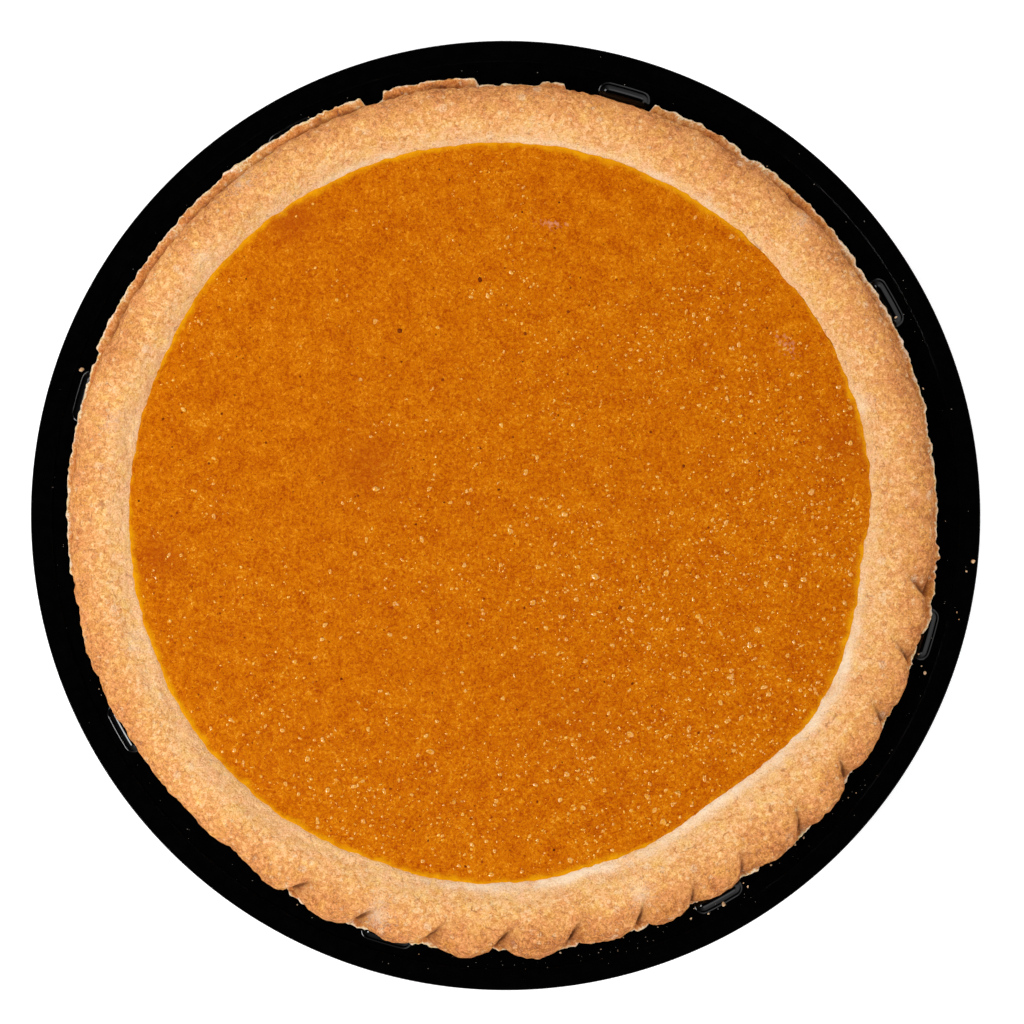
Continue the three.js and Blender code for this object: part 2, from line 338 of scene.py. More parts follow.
def bump_node(tree, height, distance, strength, after=None):
    """Small relief from a height, on top of the relief that comes before it."""
    bump = tree.nodes.new("ShaderNodeBump")
    set_inputs(bump, Distance=distance, Strength=strength, Height=height)
    if after is not None:
        set_inputs(bump, Normal=after)
    return bump.outputs["Normal"]


dish_material, tree, shader, place = new_material("black_plastic", 0.1, 0.38)
scuffs = noise_node(tree, place, 3.0 * MM, detail=4.0)
haze = colour_ramp(tree, scuffs, [(0.0, (0.0003, 0.0003, 0.0004, 1.0)),
                                 (1.0, (0.0009, 0.0008, 0.0008, 1.0))])
set_inputs(shader, Base_Color=haze, Roughness=scaled(tree, scuffs, 0.35, 0.7, 0.07, 0.14))
set_inputs(shader, Normal=bump_node(tree, noise_node(tree, place, 4.0 * MM), 0.02 * MM, 0.2))

dish = make_piece("dish_plastic", *skin(dish_r, dish_z, dish_theta), dish_material, "dish")
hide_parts("dish")


# ---- Pastry shell ----
# Shortcrust pastry laid in the dish, its edge folded into a thick roll that rests on the
# flange. The roll was crimped by finger: deep slanted creases on the near side, and almost
# flat elsewhere. Baking left it pale and sandy inside, and browner towards its outer edge.
ROLL_RADIUS = 121.5 * MM
ROLL_CENTRE_X = -0.97 * MM
CUSTARD_RADIUS = 103.75 * MM
CUSTARD_CENTRE_X = -2.15 * MM
CUSTARD_CENTRE_Y = 1.0 * MM
CUSTARD_TOP = FLANGE + 5.6 * MM
CRIMP_COUNT = 38
CRIMP_PITCH = 360.0 / CRIMP_COUNT
CRIMP_FIRST = 2.8
CRIMP_DEPTH = 4.5 * MM
CRIMP_LEAN = 0.36 / MM
DENT_ANGLE = 209.0
BROWNEST_ANGLE = 338.0
WARMEST_ANGLE = 45.0
WALL_TOP_RADIUS = 106.1 * MM
WALL_FOOT_RADIUS = 90.2 * MM
INSIDE_FLOOR_RADIUS = 87.7 * MM
SHELL_COLUMNS = 1300
SHELL_SPACING = 0.53 * MM
CRIMP_DRIFT = ((200, 0.0), (270, 0.4), (287, 0.9), (305, -3.0), (324, -2.7), (343, -4.0), (357, -3.8))
FLOUR_PATCHES = (
    (-76, 95, 5.0, 0.3), (-85, 72, 4.0, 0.45), (-35, -111, 5.0, 0.4), (-103, -35, 3.5, 0.45),
    (100, 31, 3.5, 0.4), (-108, 25, 5.0, 0.3), (38, -106, 4.0, 0.35), (82, 82, 4.0, 0.3),
)
ROLL_LOBES = (
    (42, 24, -1.0), (78, 10, -0.6), (92, 6, -0.8), (142, 30, -0.9), (202, 13, 1.0), (228, 10, -0.5),
    (262, 20, 0.3), (312, 5, 0.8), (330, 16, 0.2), (351, 7, -1.0),
)
CUSTARD_LOBES = (
    (15, 22, 1.3), (132, 14, 0.6), (165, 12, -0.5), (222, 24, 1.2), (264, 8, 0.8),
    (285, 5, -0.9), (305, 13, -2.6), (330, 12, 1.9), (353, 7, -1.2),
)


def around(radius, degrees):
    """x and y of the points at a distance from the axis in a direction."""
    turn = np.radians(degrees)
    return radius * np.cos(turn), radius * np.sin(turn)


def span(theta, start, stop, soft):
    """1 between two directions and 0 outside, with smooth ends of soft degrees each way."""
    t = ((stop - start) / 2 - np.abs(past(theta, (start + stop) / 2))) / (2 * soft) + 0.5
    t = np.clip(t, 0.0, 1.0)
    return t * t * (3 - 2 * t)


def custard_line(theta):
    """Radius at which the custard meets the pastry: a circle a little off the dish's centre,
    with wide lobes in and out where the rim leans, and small ragged steps."""
    turn = np.radians(theta)
    line = CUSTARD_RADIUS + CUSTARD_CENTRE_X * np.cos(turn) + CUSTARD_CENTRE_Y * np.sin(turn)
    for at, width, push in CUSTARD_LOBES:
        line = line + push * MM * np.exp(-(past(theta, at) / width) ** 2)
    x, y = around(line, theta)
    return line + (0.26 * cloud(x, y, 0.0, 3.5 * MM, 36) + 0.16 * cloud(x, y, 0.0, 1.3 * MM, 37)) * MM


def roll_line(theta):
    """Radius of the roll's outer edge without crimps: a circle, a little fuller on the crimped
    side, with wide lobes in and out."""
    line = ROLL_RADIUS + ROLL_CENTRE_X * np.cos(np.radians(theta)) + 0.4 * MM * span(theta, 240, 357, 4)
    for at, width, push in ROLL_LOBES:
        line = line + push * MM * np.exp(-(past(theta, at) / width) ** 2)
    return line


def crimp_strength(theta):
    """How deep the crimps are: full on the near side and slight elsewhere."""
    return (0.16 + 0.84 * span(theta, 236, 292, 6) + 0.5 * span(theta, 292, 357, 6)
            - 0.1 * span(theta, 30, 180, 10))


def crimp_place(theta, inward):
    """Number of each crimp, and how far a point is from its crease to the next one, 0 to 1.
    The creases slant: they lie further round the further in from the edge. They drift a
    little from even places, as fingers do."""
    drift = np.interp(theta, *np.array(CRIMP_DRIFT).T, period=360)
    turns = (theta - CRIMP_FIRST - drift) % 360.0 / CRIMP_PITCH - inward * CRIMP_LEAN / CRIMP_PITCH
    return np.floor(turns).astype(int) % CRIMP_COUNT, turns % 1.0


def crimp_shape(u):
    """Height of one crimp across its pitch: a slow rise from the crease, a rounded top, a
    slight fall, and then a steep wall down into the next crease."""
    rise = np.sin(np.pi / 2 * np.clip(u / 0.6, 0.0, 1.0)) ** 0.8
    fall = 0.4 * np.clip((u - 0.6) / 0.34, 0.0, 1.0) ** 1.5
    wall = np.clip((u - 0.93) / 0.07, 0.0, 1.0)
    return (rise - fall) * (1 - wall * wall * (3 - 2 * wall))


def cloud(x, y, z, cell, seed):
    """Smooth noise from -1 to 1: random values at the corners of cubes with sides of cell,
    blended between them with a smooth step."""
    grid = [np.asarray(v) / cell for v in (x, y, z)]
    base = [np.floor(v).astype(np.int64) for v in grid]
    part = [v - b for v, b in zip(grid, base)]
    part = [p * p * (3 - 2 * p) for p in part]
    total = 0.0
    for corner in range(8):
        offset = (corner & 1, corner >> 1 & 1, corner >> 2)
        hashed = sum((b + o) * prime for b, o, prime in zip(base, offset, (374761393, 668265263, 362437)))
        hashed = hashed + seed * 974634777 & 0xFFFFFFFF
        hashed = (hashed ^ hashed >> 13) * 1274126177 & 0xFFFFFFFF
        value = ((hashed ^ hashed >> 16) & 0xFFFF) / 32767.5 - 1.0
        weight = 1.0
        for p, o in zip(part, offset):
            weight = weight * (p if o else 1 - p)
        total = total + value * weight
    return total


def through(controls, stations):
    """Values on a smooth curve through rows of control values (Catmull-Rom), at stations
    counted in rows."""
    low = np.clip(np.floor(stations).astype(int), 0, len(controls) - 2)
    t = (stations - low)[:, None]
    before, here, after, beyond = (
        controls[np.clip(low + step, 0, len(controls) - 1)] for step in (-1, 0, 1, 2))
    return 0.5 * (2 * here + (after - before) * t
                  + (2 * before - 5 * here + 4 * after - beyond) * t ** 2
                  + (3 * here - before - 3 * after + beyond) * t ** 3)


def outward(points):
    """Unit normals of a grid of points that closes on itself along its columns."""
    ahead = np.roll(points, -1, axis=1) - np.roll(points, 1, axis=1)
    along = np.gradient(points, axis=0)
    normal = np.cross(ahead, along)
    return normal / np.linalg.norm(normal, axis=-1, keepdims=True)


shell_degrees = np.arange(SHELL_COLUMNS) * 360.0 / SHELL_COLUMNS
outer = roll_line(shell_degrees)
inner = custard_line(shell_degrees)
width = outer - inner
slump = 0.35 * np.sin(np.radians(3 * shell_degrees + 40)) + 0.25 * np.sin(np.radians(7 * shell_degrees))
shell_controls = [
    (112.0 * MM, 0.35, 0.0),
    (118.6 * MM, 0.35, 0.0),
    (120.2 * MM, 1.6, 0.0),
    (outer - 1.3 * MM, 3.7, 0.0),
    (outer - 0.15 * MM, 5.6, 0.0),
    (outer - 0.2 * MM, 7.2, 0.3),
    (outer - 1.6 * MM, 9.1, 0.6),
    (outer - 0.25 * width, 10.6, 1.0),
    (outer - 0.42 * width, 10.9, 1.0),
    (inner + 0.39 * width, 10.1, 1.0),
    (inner + 0.24 * width, 8.7, 0.8),
    (inner + 0.12 * width, 7.3, 0.5),
    (inner + 0.6 * MM, 6.2, 0.1),
    (inner - 0.2 * MM, 5.3, 0.0),
    (inner - 1.1 * MM, 4.2, 0.0),
    (inner - 2.2 * MM, 2.2, 0.0),
]
control_r = np.stack([r + 0.0 * outer for r, height, sag in shell_controls])
control_z = np.stack([FLANGE + (height + sag * slump) * MM for r, height, sag in shell_controls])
runs = np.hypot(np.diff(control_r.mean(axis=1)), np.diff(control_z.mean(axis=1)))
counts = np.maximum(2, np.ceil(runs / SHELL_SPACING)).astype(int)
counts[:2] = 2
stations = np.concatenate([k + np.arange(n) / n for k, n in enumerate(counts)] + [[len(counts)]])
roll_r = through(control_r, stations)
roll_z = through(control_z, stations)

inward = np.clip(outer - roll_r, 0.0, None)
across = np.clip((roll_r - inner) / width, 0.0, 1.0)
side = np.interp(stations, [2.0, 4.0, 6.0, 6.7, 7.5, 8.6], [0.0, 1.0, 1.0, 0.55, 0.15, 0.0])[:, None]
crimp_number, crimp_u = crimp_place(shell_degrees + 0 * inward, inward)
crimp_size = 1.0 + 0.3 * np.random.default_rng(11).uniform(-1.0, 1.0, CRIMP_COUNT)
strength = crimp_strength(shell_degrees) * crimp_size[crimp_number]
push = CRIMP_DEPTH * strength * side * (crimp_shape(crimp_u) - 0.52)
push = push - 0.9 * MM * side * np.exp(-past(shell_degrees, DENT_ANGLE) ** 2)

turn = np.radians(shell_degrees)
roll_points = np.stack([*around(roll_r, shell_degrees), roll_z], axis=-1)
roll_points = roll_points + outward(roll_points) * push[..., None]
x, y, z = np.moveaxis(roll_points, -1, 0)
open_side = np.interp(stations, [1.0, 3.0, 11.0, 12.2], [0.0, 1.0, 1.0, 0.4])[:, None]
lumps = (0.42 * cloud(x, y, z, 13 * MM, 1) + 0.28 * cloud(x, y, z, 5.5 * MM, 2)
         + 0.1 * cloud(x, y, z, 2.4 * MM, 3))
grain = 0.22 * cloud(x, y, z, 1.9 * MM, 4) + 0.24 * cloud(x, y, z, 1.2 * MM, 5)
toasted = np.clip(across * 2.2 - 1.2, 0.0, 1.0)
pits = np.clip(cloud(x, y, z, 1.5 * MM, 6) - 0.35, 0.0, 1.0) * (0.12 + 0.5 * toasted)
roll_points = roll_points + outward(roll_points) * ((lumps + grain - pits) * open_side * MM)[..., None]
roll_r = np.hypot(roll_points[..., 0], roll_points[..., 1])
roll_z = roll_points[..., 2]

wall = np.ones(SHELL_COLUMNS)
shell_r = np.concatenate([[WALL_FOOT_RADIUS * wall, WALL_TOP_RADIUS * wall], roll_r,
                          [INSIDE_FLOOR_RADIUS * wall]])
shell_z = np.concatenate([[2.7 * MM * wall, (FLANGE + 0.3 * MM) * wall], roll_z, [6.7 * MM * wall]])

# Painted shade: darkens the pastry along each crimp's crease and in the hollow just past it, where shade
# falls between the crimps. It is stored as "crease" and mixed in by the pastry's material.
crease = np.exp(-(np.minimum(crimp_u, 1 - crimp_u) / 0.035) ** 2) + 0.5 * np.exp(-(crimp_u / 0.16) ** 2)
crease = crease * np.clip(1.3 * strength * side, 0.0, 1.0) * (strength > 0.3)
blotch = 0.12 * cloud(x, y, z, 9 * MM, 7) + 0.11 * cloud(x, y, z, 3.2 * MM, 8)
# By direction: the outer part is made browner toward BROWNEST_ANGLE, and the inner slope browner toward
# WARMEST_ANGLE and paler on the opposite side.
browner = 0.11 * np.cos(turn - np.radians(BROWNEST_ANGLE)) * np.clip(across * 2.6 - 1.4, 0.0, 1.0)
warmer = 0.07 * np.cos(turn - np.radians(WARMEST_ANGLE)) * np.clip(2.2 - across * 2.6, 0.0, 1.0)
# The pits also raise the bake so they come out browner: partly painted shade in the pits, partly the browner
# crust there.
bake = across * 0.82 + browner + warmer + blotch + 0.25 * pits / 0.6
near_custard = (roll_r - inner) / MM
pale_share = (0.2 + 0.55 * span(shell_degrees, 260, 345, 10) + 0.25 * span(shell_degrees, 55, 128, 12))
pale_width = 1.3 + 0.8 * span(shell_degrees, 262, 345, 12)
pale = pale_share * np.exp(-(np.maximum(near_custard - 0.6 * pale_width, 0.0) / pale_width) ** 2)
for at_x, at_y, size, share in FLOUR_PATCHES:
    off_patch = np.hypot(x / MM - at_x, y / MM - at_y) / size
    pale = pale + share * np.exp(-off_patch ** 2)
pale = pale * (1 + 0.7 * cloud(x, y, z, 6 * MM, 9) + 0.4 * cloud(x, y, z, 2.5 * MM, 10))


def on_shell(seen, beneath=0.0):
    """A value for each point of the shell: the seen rows' own, one value for the two rows and
    the pole beneath, and 0 for the row and the pole inside."""
    return np.concatenate([np.full(2 * SHELL_COLUMNS, beneath), np.ravel(seen),
                           np.zeros(SHELL_COLUMNS), [beneath, 0.0]])


def give_attribute(piece, name, values):
    """Stores one number for each point of a piece, for its material to read."""
    layer = piece.data.attributes.new(name, "FLOAT", "POINT")
    layer.data.foreach_set("value", np.ravel(values).astype(np.float32))


def attribute_node(tree, name):
    """The number stored under a name on the piece's points."""
    node = tree.nodes.new("ShaderNodeAttribute")
    node.attribute_name = name
    return node.outputs["Fac"]


def tone(red, green, blue, light=1.15):
    """The colour that a surface needs to look like these 0 to 255 screen values under the
    lamps, which make a level white surface look `light` times as bright as full white."""
    values = np.array([red, green, blue]) / 255.0
    linear = np.where(values > 0.04045, ((values + 0.055) / 1.055) ** 2.4, values / 12.92)
    return (*(linear / light), 1.0)


def mixed(tree, factor, first, second, blend="MIX"):
    """Two colours mixed by a factor. Each is an output of a node or a fixed colour."""
    node = tree.nodes.new("ShaderNodeMix")
    node.data_type = "RGBA"
    node.blend_type = blend
    for key, value in ((6, first), (7, second), (0, factor)):
        set_input(node, key, value)
    return node.outputs[2]


def added(tree, first, second, operation="ADD"):
    """Two numbers put together. The second is an output of a node or a fixed number."""
    node = tree.nodes.new("ShaderNodeMath")
    node.operation = operation
    set_input(node, 0, first)
    set_input(node, 1, second)
    return node.outputs[0]


def speck_mask(tree, place, size, share, seed_shift):
    """1 in scattered round spots of about the given size and 0 between them: the middles of
    random cells, of which only a share is used."""
    cells = tree.nodes.new("ShaderNodeTexVoronoi")
    set_inputs(cells, Scale=0.5 / size)
    shift = tree.nodes.new("ShaderNodeMapping")
    set_inputs(shift, Location=(seed_shift, seed_shift * 0.7, 0.0), Vector=place)
    set_inputs(cells, Vector=shift.outputs["Vector"])
    near = scaled(tree, cells.outputs["Distance"], 0.18, 0.34, 1.0, 0.0)
    parts = tree.nodes.new("ShaderNodeSeparateColor")
    set_inputs(parts, Color=cells.outputs["Color"])
    chosen = scaled(tree, parts.outputs[0], share, share + 0.02, 1.0, 0.0)
    return added(tree, near, chosen, "MULTIPLY")


def sandy_pastry(name, stops):
    """Baked shortcrust: browner with the bake stored on its points, broken up by fat crumbs of
    dough, cream grains and dark pores, and pale where it stayed damp beside the custard. The
    "crease" value stored on its points paints shade into creases, hollows and under the roll."""
    material, tree, shader, place = new_material(name, 0.75, 0.12)
    baked = attribute_node(tree, "bake")
    sand = noise_node(tree, place, 0.42 * MM, roughness=0.6)
    crumb = noise_node(tree, place, 1.3 * MM, roughness=0.6, twist=0.8)
    patch = noise_node(tree, place, 3.4 * MM, twist=0.5)
    baked_here = added(tree, baked, scaled(tree, crumb, 0.3, 0.7, -0.28, 0.28))
    colour = colour_ramp(tree, baked_here, stops)
    for grain, low, high, at_low, at_high in (
            (patch, 0.25, 0.75, (1.02, 0.96, 1.06, 1.0), (1.0, 1.03, 0.78, 1.0)),
            (sand, 0.22, 0.78, (0.76, 0.6, 0.44, 1.0), (1.14, 1.36, 1.8, 1.0)),
            (crumb, 0.3, 0.7, (1.06, 1.16, 1.34, 1.0), (0.9, 0.83, 0.72, 1.0))):
        stops = [(0.0, at_low), (0.5, (1.0, 1.0, 1.0, 1.0)), (1.0, at_high)]
        tint = colour_ramp(tree, scaled(tree, grain, low, high), stops)
        colour = mixed(tree, 1.0, colour, tint, "MULTIPLY")
    webs = tree.nodes.new("ShaderNodeTexVoronoi")
    webs.feature = "DISTANCE_TO_EDGE"
    set_inputs(webs, Scale=1.0 / (4.5 * MM), Vector=place)
    hairlines = scaled(tree, webs.outputs["Distance"], 0.012, 0.045, 1.0, 0.0)
    some = scaled(tree, noise_node(tree, place, 2.6 * MM), 0.57, 0.66, 0.0, 0.6)
    cracks = added(tree, hairlines, some, "MULTIPLY")
    colour = mixed(tree, cracks, colour, tone(172, 98, 50))
    uneven = added(tree, scaled(tree, crumb, 0.3, 0.7, -0.2, 0.2), scaled(tree, sand, 0.3, 0.7, -0.2, 0.2))
    pale = added(tree, attribute_node(tree, "pale"), uneven)
    colour = mixed(tree, scaled(tree, pale, 0.12, 1.0, 0.0, 0.85), colour, tone(255, 231, 200, 1.05))
    broken = scaled(tree, sand, 0.36, 0.58)
    cream = added(tree, speck_mask(tree, place, 1.1 * MM, 0.34, 0.0), broken, "MULTIPLY")
    colour = mixed(tree, added(tree, cream, 0.6, "MULTIPLY"), colour, tone(255, 224, 176))
    flour = added(tree, speck_mask(tree, place, 2.2 * MM, 0.12, 0.031), broken, "MULTIPLY")
    colour = mixed(tree, added(tree, flour, 0.5, "MULTIPLY"), colour, tone(255, 228, 192))
    pores = speck_mask(tree, place, 0.42 * MM, 0.24, 0.013)
    pores = added(tree, pores, scaled(tree, baked, 0.2, 1.0, 0.3, 0.75), "MULTIPLY")
    colour = mixed(tree, pores, colour, tone(156, 92, 46))
    # Painted shade: darkens toward deep brown by the stored crease value, in creases, in the hollows past
    # them and on the hem under the roll.
    shaded = scaled(tree, attribute_node(tree, "crease"), 0.0, 1.0, 0.0, 0.92)
    colour = mixed(tree, shaded, colour, tone(118, 64, 28))
    relief = bump_node(tree, crumb, 0.5 * MM, 0.8)
    relief = bump_node(tree, sand, 0.22 * MM, 0.8, after=relief)
    set_inputs(shader, Base_Color=colour, Normal=relief)
    return material


crust_material = sandy_pastry("baked_pastry", [
    (0.0, tone(255, 197, 132)), (0.12, tone(255, 196, 130)), (0.22, tone(255, 192, 121)),
    (0.35, tone(249, 180, 106)), (0.5, tone(242, 168, 96)), (0.65, tone(236, 159, 88)),
    (0.78, tone(226, 148, 81)), (0.9, tone(214, 136, 72)), (1.0, tone(193, 116, 57)),
])

shell = make_piece("pastry_shell", *skin(shell_r, shell_z, turn), crust_material, "crust")
give_attribute(shell, "bake", on_shell(bake, 1.0))
give_attribute(shell, "pale", on_shell(pale))
give_attribute(shell, "crease", on_shell(crease))
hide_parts("crust")


# ---- Hem ----
# The raw edge of the pastry sheet, folded under the roll. It is thin and browner, it sticks
# out as a ledge where the rim wasn't crimped, and pieces of it have broken off.
HEM_COLUMNS = 2000
HEM_THICKNESS = 1.5 * MM
HEM_HEIGHT = FLANGE + 3.3 * MM
HEM_REACH = (
    (-4, 14, 1.6), (14, 36, 2.2), (36, 70.3, 2.9), (55.4, 57, -1.3), (82, 85.4, 2.4),
    (85.4, 93.6, 1.2), (93.8, 106.3, 3.2), (106.3, 108.8, 0.8), (109, 130, 3.5), (130, 158, 3.2),
    (158, 181, 2.0), (181, 188, 1.6), (240, 344, 0.9), (275, 282, 1.0), (344, 356, 3.0),
)

hem_degrees = np.arange(HEM_COLUMNS) * 360.0 / HEM_COLUMNS
reach = sum(out * span(hem_degrees, start, stop, 0.35) for start, stop, out in HEM_REACH) - 0.4
rim_x, rim_y = around(roll_line(hem_degrees), hem_degrees)
ragged = (0.2 * cloud(rim_x, rim_y, 0.0, 5.5 * MM, 21) + 0.2 * cloud(rim_x, rim_y, 0.0, 1.9 * MM, 22)
          + 0.14 * cloud(rim_x, rim_y, 0.0, 0.9 * MM, 23))
ragged = ragged * (1 + 1.6 * span(hem_degrees, 240, 356, 2))
hem_tip = roll_line(hem_degrees) + (reach + ragged) * MM
hem_root = roll_line(hem_degrees) - 3.2 * MM
hem_phase = np.concatenate([np.linspace(-1.0, 0.0, 11), np.linspace(0.0, 1.0, 15)[1:-1]]) * np.pi
flat_cos = np.sign(np.cos(hem_phase)) * np.abs(np.cos(hem_phase)) ** 0.55
flat_sin = np.sign(np.sin(hem_phase)) * np.abs(np.sin(hem_phase)) ** 0.8
out_part = (flat_cos[:, None] + 1) / 2
hem_r = hem_root + (hem_tip - hem_root) * out_part
thickness = HEM_THICKNESS * (1 + 0.25 * cloud(rim_x, rim_y, 0.0, 7 * MM, 24)) * (1.15 - 0.35 * out_part)
hem_z = (HEM_HEIGHT + thickness * flat_sin[:, None] / 2
         + 0.8 * MM * cloud(rim_x, rim_y, 0.0, 6 * MM, 25) * out_part)
hem_points = np.stack([*around(hem_r, hem_degrees), hem_z], axis=-1)
x, y, z = np.moveaxis(hem_points, -1, 0)
rough = 0.34 * cloud(x, y, z, 1.9 * MM, 26) + 0.26 * cloud(x, y, z, 1.0 * MM, 27)
hem_points = hem_points + outward(hem_points) * (rough * MM)[..., None]


def wrapped_quads(rows, columns):
    """The quads of a grid that closes on itself both ways, as a ring with a closed section."""
    k, j = np.meshgrid(np.arange(rows), np.arange(columns), indexing="ij")
    above, right = (k + 1) % rows, (j + 1) % columns
    return np.stack([k * columns + j, k * columns + right,
                     above * columns + right, above * columns + j], axis=-1).reshape(-1, 4)


hem_material = sandy_pastry("browned_hem", [
    (0.0, tone(255, 222, 178)), (0.2, tone(242, 176, 110)), (0.45, tone(232, 150, 76)),
    (0.7, tone(218, 132, 62)), (0.85, tone(190, 104, 44)), (1.0, tone(150, 78, 32)),
])
hem = make_piece("pastry_hem", hem_points.reshape(-1, 3), wrapped_quads(len(hem_phase), HEM_COLUMNS),
                 [], hem_material, "crust")
tip_gap = (hem_tip - hem_r) / MM
hem_bake = (0.3 + 0.24 * cloud(rim_x, rim_y, 0.0, 8 * MM, 28) + 0.22 * cloud(x, y, z, 2.2 * MM, 29)
            + 0.3 * np.clip(tip_gap / 2.5, 0.0, 1.0) - 0.5 * np.clip(1 - tip_gap / 0.7, 0.0, 1.0))
give_attribute(hem, "bake", hem_bake)
give_attribute(hem, "pale", 0.0 * hem_bake)
# Painted shadow: the hem is darkened, through its "crease" value, where it runs in under the roll, away from
# its tip.
groove = 1.9 + 0.9 * cloud(rim_x, rim_y, 0.0, 4 * MM, 30)
give_attribute(hem, "crease", 0.7 * np.clip((tip_gap - groove) / 0.9, 0.0, 1.0))


# ---- Custard ----
# Baked pumpkin custard, poured into the shell and set with a level, slightly sunken top. Its
# skin is satin and finely pebbled, and thins to a yellow film where it touches the pastry.
CUSTARD_RINGS = 179
CUSTARD_DEPTH = 2.5 * MM
BARE_EDGES = ((-4, 10), (24, 50), (158, 180), (293, 324))
STAINS = (
    (-61, 84, 7, 0.8), (-38, 14, 9, 0.5), (-97, -12, 6, 0.6), (96, 20, 8, 0.5), (20, -60, 14, 0.2),
)
SMEARS = (
    (-66, 85, 3.5, 1.6, 30, 0.5), (12.5, 82, 4.5, 1.5, -5, 0.5), (79, 48, 4.0, 2.0, -50, 0.45),
)


def custard_height(x, y):
    """Height of the custard's skin: level, lower in the middle, climbing a little where it
    touches the pastry, with broad swells and small pebbles."""
    theta = np.degrees(np.arctan2(y, x))
    line = custard_line(theta)
    radius = np.hypot(x, y)
    part = radius / line
    film = 0.3 * np.exp(np.clip((radius - line) / (0.9 * MM), -20.0, 0.0))
    swell = 0.16 * cloud(x, y, 0.0, 26 * MM, 31) + 0.08 * cloud(x, y, 0.0, 8 * MM, 32)
    pebble = (0.07 * cloud(x, y, 0.0, 2.6 * MM, 33) + 0.075 * cloud(x, y, 0.0, 1.5 * MM, 34)
              + 0.03 * cloud(x, y, 0.0, 0.9 * MM, 35))
    return CUSTARD_TOP - 0.1 * MM + (film + swell + pebble - 0.5 * (1 - part ** 2)) * MM


def disc_triangles(rings):
    """Triangles of a disc made of rings, of which ring k has six times k points."""
    def first(k):
        """Number of the first point of ring k."""
        return 1 + 3 * k * (k - 1)

    triangles = [np.array([[0, 1 + s, 1 + (s + 1) % 6] for s in range(6)])]
    for k in range(2, rings + 1):
        s, i = np.divmod(np.arange(6 * k), k)
        outer_here = first(k) + np.arange(6 * k)
        outer_next = first(k) + (np.arange(6 * k) + 1) % (6 * k)
        inner_here = first(k - 1) + (s * (k - 1) + i) % (6 * (k - 1))
        triangles.append(np.stack([outer_here, outer_next, inner_here], axis=-1))
        inside = i < k - 1
        inner_next = first(k - 1) + (s * (k - 1) + i + 1) % (6 * (k - 1))
        triangles.append(np.stack([inner_here, outer_next, inner_next], axis=-1)[inside])
    return np.concatenate(triangles)


ring = np.repeat(np.arange(1, CUSTARD_RINGS + 1), 6 * np.arange(1, CUSTARD_RINGS + 1))
step = np.concatenate([np.arange(6 * k) for k in range(1, CUSTARD_RINGS + 1)])
custard_turn = 2 * np.pi * step / (6 * ring)
custard_r = ring / CUSTARD_RINGS * (custard_line(np.degrees(custard_turn)) + 0.6 * MM)
custard_x = np.append(0.0, custard_r * np.cos(custard_turn))
custard_y = np.append(0.0, custard_r * np.sin(custard_turn))
top = np.stack([custard_x, custard_y, custard_height(custard_x, custard_y)], axis=-1)
rim_count = 6 * CUSTARD_RINGS
rim = np.arange(len(top) - rim_count, len(top))
foot_ring = top[rim] * (0.97, 0.97, 1.0) - (0.0, 0.0, CUSTARD_DEPTH)
custard_points = np.concatenate([top, foot_ring, [[0.0, 0.0, CUSTARD_TOP - CUSTARD_DEPTH]]])
rim_next = np.roll(rim, -1)
foot = len(top) + np.arange(rim_count)
foot_next = np.roll(foot, -1)
side_quads = np.stack([foot, foot_next, rim_next, rim], axis=-1)
centre = np.full(rim_count, len(custard_points) - 1)
custard_triangles = np.concatenate([disc_triangles(CUSTARD_RINGS),
                                    np.stack([centre, foot_next, foot], axis=-1)])

custard_degrees = np.degrees(np.arctan2(custard_y, custard_x))
no_film = sum(span(custard_degrees, start, stop, 4) for start, stop in BARE_EDGES)
edge = (custard_line(custard_degrees) - np.hypot(custard_x, custard_y)) / MM + 1.1 * no_film
stain = sum(depth * np.exp(-((custard_x / MM - at_x) ** 2 + (custard_y / MM - at_y) ** 2) / size ** 2)
            for at_x, at_y, size, depth in STAINS)
smear = np.zeros_like(edge)
for at_x, at_y, long, wide, lean, depth in SMEARS:
    turned = np.radians(lean)
    along = (custard_x / MM - at_x) * np.cos(turned) + (custard_y / MM - at_y) * np.sin(turned)
    aside = (custard_y / MM - at_y) * np.cos(turned) - (custard_x / MM - at_x) * np.sin(turned)
    smear = smear + depth * np.exp(-(along / long) ** 2 - (aside / wide) ** 2)

custard_material, tree, shader, place = new_material("pumpkin_custard", 0.25, 0.03)
fibre = noise_node(tree, place, 0.42 * MM, roughness=0.6, twist=0.8)
pebbles = noise_node(tree, place, 1.0 * MM, roughness=0.6, twist=0.8)
broad = noise_node(tree, place, 6 * MM, detail=3.0, twist=0.5)
depth = added(tree, scaled(tree, fibre, 0.3, 0.7, 0.06, 0.44), scaled(tree, pebbles, 0.3, 0.7, 0.05, 0.47))
depth = added(tree, depth, scaled(tree, broad, 0.3, 0.7, -0.12, 0.06))
